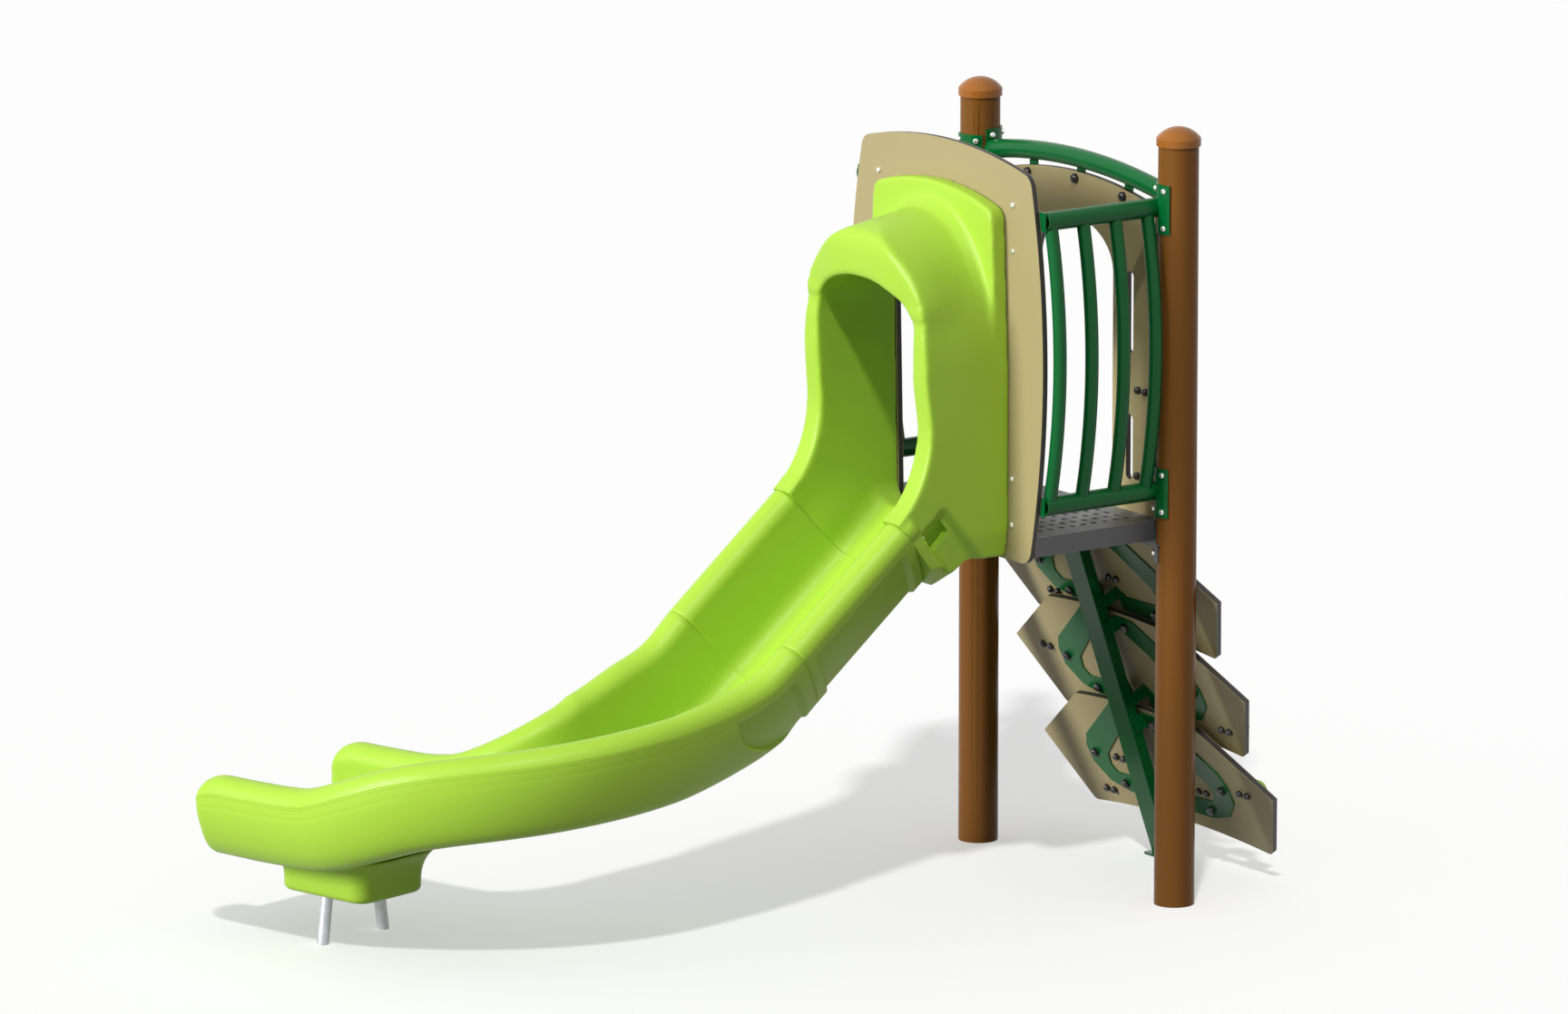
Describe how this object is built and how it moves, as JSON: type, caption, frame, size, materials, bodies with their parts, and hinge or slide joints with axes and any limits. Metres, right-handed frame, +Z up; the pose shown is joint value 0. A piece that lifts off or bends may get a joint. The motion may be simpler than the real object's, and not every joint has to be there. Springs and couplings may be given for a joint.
{
  "type": "playground slide",
  "caption": "Free-standing playground wave slide: deck on posts with barriers, arched hood, banked turning trough and a tiered climber.",
  "frame": {"origin": "centre of the near post's foot, on the ground", "axes": "+Z up, +Y from the near post to the far post, +X towards the climber; the slide leaves towards -X and turns to +Y"},
  "size_m": [3.2273, 1.6171, 2.476],
  "materials": {
    "post_brown": "satin brown powder coat",
    "cap_bronze": "gloss bronze coat",
    "green_steel": "gloss green powder coat",
    "deck_grey": "dark grey coating with a fine texture",
    "tan_board": "fine-textured tan board with a dark core",
    "slide_lime": "smooth moulded plastic",
    "hold_lime": "grained moulded plastic",
    "grip_grey": "light grey coating",
    "galvanised": "galvanised",
    "stainless": "satin",
    "black_cap": "satin black"
  },
  "bodies": {
    "root": {"near_post": "post_brown", "near_post_cap": "cap_bronze", "near_top_rail_saddle": "green_steel", "near_bottom_rail_saddle": "green_steel", "near_arch_saddle": "green_steel", "near_top_rail": "green_steel", "near_bottom_rail": "green_steel", "near_top_rail_plate": "green_steel", "near_bottom_rail_plate": "green_steel", "near_barrier_bar_1": "green_steel", "near_barrier_bar_2": "green_steel", "near_barrier_bar_3": "green_steel", "near_barrier_bar_4": "green_steel", "near_deck_bracket": "deck_grey", "near_entry_handle": "grip_grey", "near_exit_leg": "galvanised", "far_post": "post_brown", "far_post_cap": "cap_bronze", "far_top_rail_saddle": "green_steel", "far_bottom_rail_saddle": "green_steel", "far_arch_saddle": "green_steel", "far_top_rail": "green_steel", "far_bottom_rail": "green_steel", "far_top_rail_plate": "green_steel", "far_bottom_rail_plate": "green_steel", "far_barrier_bar_1": "green_steel", "far_barrier_bar_2": "green_steel", "far_barrier_bar_3": "green_steel", "far_barrier_bar_4": "green_steel", "far_deck_bracket": "deck_grey", "far_entry_handle": "grip_grey", "far_exit_leg": "galvanised", "arch_rail": "green_steel", "arch_tabs": "green_steel", "deck": "deck_grey", "deck_stiffeners": "deck_grey", "slide_panel": "tan_board", "entry_panel": "tan_board", "slide_hood": "slide_lime", "slide_middle": "slide_lime", "slide_exit": "slide_lime", "climber_panel_upper": "tan_board", "climber_brackets_upper": "green_steel", "climber_panel_middle": "tan_board", "climber_brackets_middle": "green_steel", "climber_panel_lower": "tan_board", "climber_brackets_lower": "green_steel", "climber_spine": "green_steel", "spine_foot_plate": "green_steel", "spine_top_bracket": "green_steel", "climbing_holds": "hold_lime", "saddle_bolts": "stainless", "panel_bolts": "stainless", "hood_bolts": "stainless", "seam_bolts": "stainless", "deck_bolts": "stainless", "entry_panel_bolts": "black_cap", "handle_bolts": "black_cap", "bracket_bolts": "black_cap", "hold_bolts": "black_cap"}
  },
  "joints": []
}
